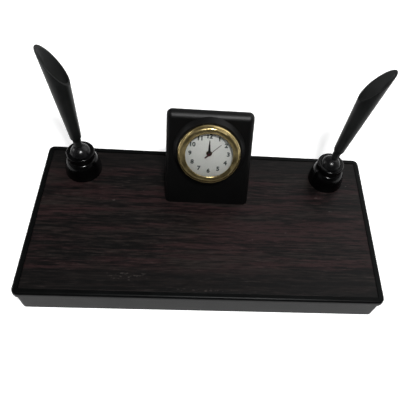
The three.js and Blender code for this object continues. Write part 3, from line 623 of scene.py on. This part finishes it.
grip_inside = 16.3
grip_band = 16.5
grip_rib = 0.25
grip_top = 2.7
grip_length = 5.2
grip_ribs = 3
rib_steps = 8
rib_pitch = grip_length / grip_ribs
grip_profile = [(grip_inside, grip_top), (grip_inside, grip_top - grip_length)]
for step in range(grip_ribs * rib_steps + 1):
    swell = sin(pi * step / rib_steps) ** 2
    level = grip_top - grip_length + rib_pitch * step / rib_steps
    grip_profile.append((grip_band + grip_rib * swell, level))
rubber, rubber_wire, rubber_shader = new_finish("grip_rubber", {"Specular IOR Level": 0.25})
rubber_bloom = rubber_wire.noise(420, detail=4)
feed(rubber_shader, Base_Color=rubber_bloom.between(0.35, 0.75).blend(
    colour(0.012, 0.012, 0.012), colour(0.030, 0.030, 0.031)))
feed(rubber_shader, Roughness=0.72 + 0.2 * (rubber_bloom - 0.5))
feed(rubber_shader, Normal=bumps(rubber_wire, rubber_bloom, 0.00003))
as_piece("rubber_grip", turned(grip_profile), rubber, "clock_insert", ["grip_ring"],
         place=on_face)


def dress(material, *nodes):
    """Gives nodes of the frame that stay as they are their finish."""
    for node in nodes:
        for holder in frame["nodes"][node].material_slots:
            holder.material = material


dress(case_plastic, "setting_knob", "cell_hatch")

# Movement: a brass plate and brass wheels and pipes, a sealed nylon drive module and a steel
# button cell. They stand in the case behind the dial and show only when it is taken apart.


def worn_metal(name, low, high, roughness):
    """Bare or plated metal, a little cloudy, with fine wear in its gloss."""
    material, wire, shader = new_finish(name, {"Metallic": 1.0})
    cloud = wire.noise(160, detail=4)
    hairs = wire.noise(900, (1, 14, 1), detail=2)
    feed(shader, Base_Color=cloud.between(0.3, 0.7).blend(colour(*low), colour(*high)))
    feed(shader, Roughness=roughness + 0.16 * (cloud - 0.5) + 0.10 * (hairs - 0.5))
    feed(shader, Normal=bumps(wire, hairs, 0.000004))
    return material


brass = worn_metal("movement_brass", (0.40, 0.27, 0.08), (0.56, 0.39, 0.13), 0.34)
steel = worn_metal("zinc_steel", (0.42, 0.43, 0.45), (0.55, 0.56, 0.57), 0.36)
nylon, nylon_wire, nylon_shader = new_finish("natural_nylon", {"Specular IOR Level": 0.4})
nylon_cloud = nylon_wire.noise(120, detail=3)
feed(nylon_shader, Base_Color=nylon_cloud.between(0.3, 0.7).blend(
    colour(0.60, 0.57, 0.50), colour(0.70, 0.67, 0.60)))
feed(nylon_shader, Roughness=0.45 + 0.12 * (nylon_cloud - 0.5))
dress(brass, "main_plate", "cannon_pinion", "minute_wheel", "hour_wheel")
dress(nylon, "drive_module")
dress(steel, "button_cell", "seconds_arbor")

# Dial: a thin disc, silvered white and a little uneven, that drops into the case from the front.
# Its twelve upright numerals are printed in dark ink.
dial_radius = 15.2
dial_hole = 1.75
dial_underside = 3.4
dial_top = 3.8
dial_edge = 0.06
numeral_circle = 11.07
numeral_height = 2.9
stroke_weight = 0.045
ink_rise = 0.02
ink_sink = 0.01
dial_profile = [
    (dial_hole, dial_underside), (dial_radius, dial_underside),
    (dial_radius, dial_top - dial_edge), (dial_radius - dial_edge, dial_top), (dial_hole, dial_top),
]
dial_white, dial_wire, dial_shader = new_finish("silvered_dial", {"Specular IOR Level": 0.35})
dial_cloud = dial_wire.noise(260, detail=5)
dial_grain = dial_wire.noise(5200, detail=1)
feed(dial_shader, Base_Color=dial_cloud.between(0.25, 0.75).blend(
    colour(0.85, 0.865, 0.82), colour(0.90, 0.91, 0.865)))
feed(dial_shader, Roughness=0.5 + 0.12 * (dial_grain - 0.5))
feed(dial_shader, Normal=bumps(dial_wire, dial_grain, 0.000004))
as_piece("printed_dial", turned(dial_profile), dial_white, "clock_insert", ["clock_dial"],
         place=on_face)


def numeral(text, height):
    """The shape of a printed number about its own middle, as a mesh one millimetre to the unit."""
    lettering = bpy.data.curves.new("numeral", "FONT")
    lettering.body = text
    lettering.resolution_u = 4
    lettering.offset = stroke_weight
    lettering.extrude = (ink_rise + ink_sink) / (2 * height)
    number = bpy.data.objects.new("numeral", lettering)
    bpy.context.scene.collection.objects.link(number)
    drawn = number.evaluated_get(bpy.context.evaluated_depsgraph_get()).to_mesh()
    corners = [corner.co for corner in drawn.vertices]
    low = Vector([min(corner[axis] for corner in corners) for axis in range(3)])
    high = Vector([max(corner[axis] for corner in corners) for axis in range(3)])
    drawn.transform(Matrix.Translation(-(low + high) / 2))
    drawn.transform(Matrix.Scale(height / (high.y - low.y), 4))
    mesh = bmesh.new()
    mesh.from_mesh(drawn)
    bpy.data.objects.remove(number)
    return mesh


ink_level = dial_top + (ink_rise - ink_sink) / 2
numerals = bmesh.new()
for hour in range(1, 13):
    angle = radians(30 * hour)
    printed = numeral(str(hour), numeral_height)
    bmesh.ops.translate(printed, verts=printed.verts,
                        vec=(numeral_circle * sin(angle), numeral_circle * cos(angle), ink_level))
    carried = bpy.data.meshes.new("numeral")
    printed.to_mesh(carried)
    printed.free()
    numerals.from_mesh(carried)
    bpy.data.meshes.remove(carried)
ink, ink_wire, ink_shader = new_finish("dial_ink", {"Specular IOR Level": 0.3})
ink_spread = ink_wire.noise(2400, detail=2)
feed(ink_shader, Base_Color=ink_spread.between(0.3, 0.7).blend(
    colour(0.030, 0.040, 0.038), colour(0.060, 0.075, 0.070)))
feed(ink_shader, Roughness=0.55 + 0.1 * (ink_spread - 0.5))
as_piece("dial_numerals", numerals, ink, "clock_insert", [], place=on_face)

# Hands: three strips of thin metal pressed onto their arbors, black for the hours and minutes,
# and a dark red sweep hand with a tail and a small domed cap.
hand_thickness = 0.2
hour_level = 4.1
minute_level = 4.6
second_level = 5.1
blade_edge = 0.05
sweep_angle = -46


def hand(level, length, root, tip, tail, tail_width, hub, hole=0.0, cap=0.0):
    """A flat tapered blade that points to twelve, joined to a round hub with a hole or a cap. Its
    root and its tip are widths, and hub and hole are radii."""
    blade = bmesh.new()
    shoulder = hub * 0.5
    outline = [
        (-tail_width / 2, -tail), (tail_width / 2, -tail), (tail_width / 2 + root / 4, 0),
        (root / 2, shoulder), (tip / 2, length - tip), (0, length), (-tip / 2, length - tip),
        (-root / 2, shoulder), (-tail_width / 2 - root / 4, 0),
    ]
    flat = blade.faces.new([blade.verts.new((x, y, level)) for x, y in outline])
    lifted = bmesh.ops.extrude_face_region(blade, geom=[flat])["geom"]
    top = level + hand_thickness
    corners = [part for part in lifted if isinstance(part, bmesh.types.BMVert)]
    bmesh.ops.translate(blade, vec=(0, 0, hand_thickness), verts=corners)
    bmesh.ops.recalc_face_normals(blade, faces=blade.faces)
    upper = [edge for edge in blade.edges if all(corner.co.z > top - weld_reach for corner in edge.verts)]
    bmesh.ops.bevel(blade, geom=upper, offset=min(blade_edge, tip / 5), offset_type="OFFSET",
                    affect="EDGES", segments=2, profile=0.5, material=-1)
    disc = turned([
        (0, level), (hub, level), (hub, top - blade_edge), (hub - blade_edge, top),
        (hub * 0.6, top + cap * 0.75), (hub * 0.3, top + cap * 0.95), (0, top + cap),
    ], small_steps)
    steps = [("UNION", disc, Matrix())]
    if hole:
        pipe_hole = plug(hole, level - past_surface, level + past_surface, 0)
        steps.append(("DIFFERENCE", pipe_hole, Matrix()))
    return cut_and_join(blade, steps)


def lacquer(name, low, high, roughness):
    """Lacquered metal, with the thin unevenness of a dipped coat."""
    material, wire, shader = new_finish(name, {"Specular IOR Level": 0.5})
    coat = wire.noise(900, detail=3)
    feed(shader, Base_Color=coat.between(0.3, 0.7).blend(colour(*low), colour(*high)))
    feed(shader, Roughness=roughness + 0.15 * (coat - 0.5))
    return material


black_lacquer = lacquer("black_lacquer", (0.008, 0.008, 0.009), (0.014, 0.014, 0.015), 0.35)
red_lacquer = lacquer("red_lacquer", (0.042, 0.004, 0.007), (0.068, 0.007, 0.010), 0.55)
hour_hand = hand(hour_level, length=6.6, root=1.5, tip=0.9, tail=0.2, tail_width=0.8, hub=1.4,
                 hole=1.1)
as_piece("hour_hand_blade", hour_hand, black_lacquer, "hour_arbor", ["hour_hand"],
         place=on_face)
minute_hand = hand(minute_level, length=8.9, root=0.9, tip=0.5, tail=0.2, tail_width=0.5, hub=0.95,
                   hole=0.55)
as_piece("minute_hand_blade", minute_hand, black_lacquer, "minute_arbor", ["minute_hand"],
         place=on_face)
sweep_hand = hand(second_level, length=9.5, root=0.28, tip=0.18, tail=3.4, tail_width=0.7, hub=0.85,
                  cap=0.12)
sweep_turn = Matrix.Rotation(radians(sweep_angle), 4, "Z")
as_piece("sweep_hand_blade", sweep_hand, red_lacquer, "second_arbor", ["second_hand"],
         place=on_face @ sweep_turn)

# Lens: a clear acrylic disc, slightly domed, held between the case and the bezel. It shows as
# a faint reflection that is strongest at a slant.
lens_radius = 17.45
lens_underside = 5.6
lens_edge_top = 6.25
lens_crown = 0.3
crown_steps = 8
acrylic_ior = 1.49
lens_profile = [(0, lens_underside), (lens_radius, lens_underside)]
for step in range(crown_steps + 1):
    reach = 1 - step / crown_steps
    lens_profile.append((lens_radius * reach, lens_edge_top + lens_crown * (1 - reach ** 2)))
clear, clear_wire, clear_shader = new_finish("clear_acrylic", {
    "Base Color": colour(1, 1, 1), "Metallic": 1.0,
})
clear_slant = clear_wire.add("Fresnel", {}, {"IOR": acrylic_ior})
clear_haze = clear_wire.noise(500, detail=3)
feed(clear_shader, Alpha=clear_slant * (0.75 + 0.1 * clear_haze))
feed(clear_shader, Roughness=0.02 + 0.03 * clear_haze)
as_piece("domed_lens", turned(lens_profile), clear, "clock_insert", ["clock_lens"],
         place=on_face)

# Bezel: a ring of brass, spun to a convex section, polished and gold plated. It is pressed over
# the flange of the case and holds the lens down.
bezel_foot = 17.85
bezel_opening = 13.7
bezel_inside = 17.75
bezel_crest = 16.0
bezel_top = 7.3
bezel_nose = 6.8
bezel_lip = 6.5
bezel_steps = 128


def curve(start, leaving, arriving, end, steps):
    """Points of a profile along a smooth curve, from its two ends and their handles."""
    drawn = interpolate_bezier(Vector(start), Vector(leaving), Vector(arriving), Vector(end), steps)
    return [tuple(point) for point in drawn]


bezel_profile = [
    (bezel_inside, seat_level),
    *curve((bezel_foot, seat_level), (bezel_foot + 1.1, seat_level + 0.8),
           (bezel_foot, bezel_top), (bezel_crest, bezel_top), 18),
    *curve((bezel_crest, bezel_top), (15.2, bezel_top), (14.2, 7.2),
           (bezel_opening, bezel_nose), 10)[1:],
    (bezel_opening - 0.02, bezel_nose - 0.15), (bezel_opening + 0.05, bezel_lip),
    (bezel_inside, bezel_lip),
]
gold, gold_wire, gold_shader = new_finish("gold_plate", {"Metallic": 1.0})
gold_cloud = gold_wire.noise(240, detail=4)
gold_hairs = gold_wire.noise(1500, (1, 9, 1), detail=2)
gold_waves = gold_wire.noise(75, detail=1)
feed(gold_shader, Base_Color=gold_cloud.between(0.3, 0.7).blend(
    colour(0.48, 0.37, 0.16), colour(0.68, 0.54, 0.26)))
feed(gold_shader, Roughness=0.24 + 0.10 * (gold_cloud - 0.5) + 0.05 * (gold_hairs - 0.5))
feed(gold_shader, Normal=bumps(gold_wire, gold_waves + 0.001 * gold_hairs, 0.002))
as_piece("gold_bezel", turned(bezel_profile, bezel_steps), gold, "clock_insert", ["clock_bezel"],
         place=on_face)

# Pen holder stands: two glossy black bells, wide at the foot and domed up to a short throat, drawn
# down on the deck by a screw and a washer from below.
ball_height = 15.0
foot_radius = 11.0
foot_edge = 0.25
foot_band = 0.8
foot_recess = 1.4
recess_radius = 9.0
recess_draft = 0.4
dome_radius = 10.87
dome_foot = 1.3
dome_top = 12.0
bolt_hole_radius = 2.3
bolt_hole_top = 5.3
boss_radius = 4.3
throat_radius = 7.5
throat_low = 12.15
throat_high = 12.8
throat_edge = 0.1
cup_radius = 8.3
cup_foot = 13.5
cup_edge = 0.15
cup_shoulder = 13.8
cup_bore = 6.95
cup_narrows = 11.2
cup_well = 6.0
cup_well_top = 8.0
cup_floor = 6.9
spigot_radius = 7.5
spigot_top = 15.5
bell_profile = [
    (0, bolt_hole_top), (bolt_hole_radius, bolt_hole_top), (bolt_hole_radius, 0), (boss_radius, 0),
    (boss_radius, foot_recess), (recess_radius, foot_recess), (recess_radius + recess_draft, 0),
    (foot_radius - foot_edge, 0), (foot_radius - 0.28 * foot_edge, 0.28 * foot_edge),
    (foot_radius, foot_edge), (foot_radius, foot_band), (foot_radius - 0.12, foot_band + 0.3),
    *curve((dome_radius, dome_foot), (dome_radius, 6.2), (9.3, 11.5),
           (throat_radius + throat_edge, dome_top), 20),
    (throat_radius, throat_low), (throat_radius, throat_high),
    (throat_radius + throat_edge, throat_high + 2 * throat_edge),
    (cup_radius - cup_edge, cup_foot - cup_edge), (cup_radius, cup_foot),
    (cup_radius, cup_shoulder), (spigot_radius, cup_shoulder), (spigot_radius, spigot_top),
    (cup_bore, spigot_top), (cup_bore, cup_narrows), (cup_well, cup_well_top),
    (cup_well, cup_floor), (0, cup_floor),
]


def glossy_plastic(name, base, roughness, wear, specular):
    """Polished black plastic, with faint clouds and fine rubbed marks in its gloss."""
    material, wire, shader = new_finish(name, {"Specular IOR Level": specular})
    cloud = wire.noise(140, detail=4)
    rubbed = wire.noise(700, (1, 1, 6), detail=3)
    low = colour(*(0.75 * part for part in base))
    high = colour(*(1.3 * part for part in base))
    feed(shader, Base_Color=cloud.between(0.3, 0.7).blend(low, high))
    feed(shader, Roughness=roughness + wear * rubbed.between(0.45, 0.75) + 0.04 * (cloud - 0.5))
    feed(shader, Normal=bumps(wire, rubbed, 0.000003))
    return material


bell_gloss = glossy_plastic("bell_gloss", (0.0008, 0.0008, 0.0009), roughness=0.17, wear=0.08,
                            specular=0.16)
holder_sides = ("left", "right")
ball_centres = {side: Vector(joint_named[side + "_azimuth"]["pos_m"]) for side in holder_sides}
to_deck = Vector((0, 0, -ball_height * millimetre))
on_deck = {side: Matrix.Translation(ball_centres[side] + to_deck) for side in holder_sides}
for side in holder_sides:
    as_piece("bell_stand_" + side, turned(bell_profile), bell_gloss, "base", ["bell_base_" + side],
             place=on_deck[side])
    dress(steel, "holder_bolt_" + side, "holder_washer_" + side)

# Retaining rings: black plastic rings with a rounded rim, screwed over the mouths of the bells.
# Their lips close in round the balls and hold them in.
ring_top = 17.4
ring_edge = 0.8
ring_clearance = 0.2
ball_gap_radius = 6.85


def arc(radius, start, end, steps, height=0.0):
    """Points of a round part of a profile, by angle from straight up, in degrees."""
    angles = [radians(start + (end - start) * step / steps) for step in range(steps + 1)]
    return [(radius * sin(angle), height + radius * cos(angle)) for angle in angles]


lip_start = degrees(acos((ring_top - ball_height) / ball_gap_radius))
lip_end = degrees(acos((spigot_top + ring_clearance - ball_height) / ball_gap_radius))
rim_round = 0.55 * ring_edge
ring_profile = [
    (spigot_radius + ring_clearance, cup_shoulder), (cup_radius, cup_shoulder),
    *curve((cup_radius, ring_top - ring_edge), (cup_radius, ring_top - ring_edge + rim_round),
           (cup_radius - ring_edge + rim_round, ring_top), (cup_radius - ring_edge, ring_top), 8),
    *arc(ball_gap_radius, lip_start, lip_end, 6, ball_height),
    (spigot_radius + ring_clearance, spigot_top + ring_clearance),
]
for side in holder_sides:
    as_piece("holder_ring_" + side, turned(ring_profile), bell_gloss, "base",
             ["retaining_ring_" + side], place=on_deck[side])

# Swivel balls: polished black balls with a flat on top and a socket in it, into which the funnel's
# tenon is pressed. Each swings in its bell on a nylon seat, with a spring washer under that.
ball_radius = 6.6
ball_flat = 6.1
flat_edge = 0.08
flat_edge_turn = 1.5
socket_radius = 2.1
socket_floor = 2.4
flat_angle = degrees(acos(ball_flat / ball_radius))
ball_profile = [
    *arc(ball_radius, 180, flat_angle + flat_edge_turn, 26),
    (ball_radius * sin(radians(flat_angle)) - flat_edge, ball_flat), (socket_radius, ball_flat),
    (socket_radius, socket_floor), (0, socket_floor),
]


def on_axis(side):
    """Places what is turned about the funnel's own line, from the middle of its ball."""
    along = Vector(joint_named[side + "_spin"]["axis"]).normalized()
    across = Vector(joint_named[side + "_tilt"]["axis"]).normalized()
    tilted = Matrix((across.cross(along), across, along)).transposed().to_4x4()
    return Matrix.Translation(ball_centres[side]) @ tilted


ball_gloss = glossy_plastic("ball_gloss", (0.0030, 0.0030, 0.0033), roughness=0.24, wear=0.08,
                            specular=0.28)
for side in holder_sides:
    as_piece("ball_" + side, turned(ball_profile), ball_gloss, side + "_ball",
             ["swivel_ball_" + side], place=on_axis(side))
    dress(nylon, "ball_seat_" + side)
    dress(steel, "spring_washer_" + side)

# Pen funnels: thin walled conical tubes of satin black plastic, moulded with a narrow neck and
# a tenon for the ball. The mouths are cut at a slant and their edges are lightly rounded. Their
# insides carry painted light: the bore is coloured lighter than the outside.
neck_radius = 2.45
tenon_radius = 1.8
tenon_end = 2.7
tenon_edge = 0.25
neck_start = 6.4
neck_end = 9.6
shoulder_at = 12.6
shoulder_radius = 3.35
low_at = 47.9
low_radius = 5.8
tip_at = 71.3
funnel_wall = 0.9
bore_floor = 14.6
bore_start = 16.0
bore_point = 0.3
mouth_spare = 4
rim_rounding = 0.2
funnel_turn = {"left": -130, "right": 140}
taper_rate = (low_radius - shoulder_radius) / (low_at - shoulder_at)
tip_radius = shoulder_radius + taper_rate * (tip_at - shoulder_at)
beyond = tip_at + mouth_spare
beyond_radius = shoulder_radius + taper_rate * (beyond - shoulder_at)
floor_radius = shoulder_radius + taper_rate * (bore_start - shoulder_at) - funnel_wall
funnel_profile = [
    (0, tenon_end), (tenon_radius - tenon_edge, tenon_end),
    (tenon_radius, tenon_end + tenon_edge), (tenon_radius, neck_start), (neck_radius, neck_start),
    *curve((neck_radius, neck_end), (neck_radius, 11.2), (3.1, 11.3),
           (shoulder_radius, shoulder_at), 8),
    (beyond_radius, beyond), (beyond_radius - funnel_wall, beyond),
    (floor_radius, bore_start), (floor_radius * 0.6, bore_floor + bore_point), (0, bore_floor),
]
cut_angle = atan2(low_radius + tip_radius, tip_at - low_at)
cut_middle = ((low_radius - tip_radius) / 2, 0, (low_at + tip_at) / 2)
funnel_plastic, funnel_wire, funnel_shader = new_finish("funnel_plastic", {"Specular IOR Level": 0.14})
funnel_cloud = funnel_wire.noise(90, detail=4)
funnel_skin = funnel_wire.noise(2600, detail=2)
funnel_bore = funnel_wire.add("Attribute", {"attribute_name": "bore"}, output=2)
# Painted light: the bore is coloured lighter than the outside of the same plastic, with random cloud over
# both.
funnel_cloud_and_bore_light = 0.6 * funnel_bore + 0.3 * funnel_cloud.between(0.3, 0.7)
feed(funnel_shader, Base_Color=funnel_cloud_and_bore_light.blend(
    colour(0.0045, 0.0050, 0.0049), colour(0.0240, 0.0250, 0.0246)))
feed(funnel_shader, Roughness=0.32 + 0.06 * funnel_bore + 0.10 * (funnel_cloud - 0.5))
feed(funnel_shader, Normal=bumps(funnel_wire, funnel_skin, 0.00002))
for side in holder_sides:
    funnel = turned(funnel_profile)
    bmesh.ops.bisect_plane(funnel, geom=[*funnel.verts, *funnel.edges, *funnel.faces],
                           plane_co=cut_middle, plane_no=(cos(cut_angle), 0, sin(cut_angle)),
                           clear_outer=True)
    rim = [edge for edge in funnel.edges if edge.is_boundary]
    bmesh.ops.bridge_loops(funnel, edges=rim)
    bmesh.ops.recalc_face_normals(funnel, faces=funnel.faces)
    bmesh.ops.bevel(funnel, geom=rim, offset=rim_rounding, offset_type="OFFSET", affect="EDGES",
                    segments=3, profile=0.5, material=-1)
    funnel.normal_update()
    bore = funnel.faces.layers.float.new("bore")
    for face in funnel.faces:
        middle = face.calc_center_median()
        face[bore] = float(face.normal.dot(Vector((middle.x, middle.y, 0))) < 0)
    spun = Matrix.Rotation(radians(funnel_turn[side]), 4, "Z")
    as_piece("funnel_" + side, funnel, funnel_plastic, side + "_funnel", ["pen_funnel_" + side],
             place=on_axis(side) @ spun)

# Bottom board and screws: a brown hardboard plate that closes the tray, held by six countersunk
# screws, and four screws that hold the clock block from under the deck. They stay as CAD has them.
hardboard, board_wire, board_shader = new_finish("hardboard", {"Specular IOR Level": 0.2})
board_fibres = board_wire.noise(500, (1, 2.2, 1), detail=5, roughness=0.7)
board_cloud = board_wire.noise(40, detail=3)
board_tone = 0.6 * board_fibres + 0.4 * board_cloud
feed(board_shader, Base_Color=board_tone.between(0.35, 0.65).blend(
    colour(0.075, 0.042, 0.020), colour(0.150, 0.090, 0.047)))
feed(board_shader, Roughness=0.8 + 0.15 * (board_fibres - 0.5))
feed(board_shader, Normal=bumps(board_wire, board_fibres, 0.00008))
dress(hardboard, "bottom_board")
dress(steel, *[f"bottom_screw_{place}" for place in range(1, 7)])
dress(steel, *[f"housing_screw_{place}" for place in range(1, 5)])

bpy.context.view_layer.update()
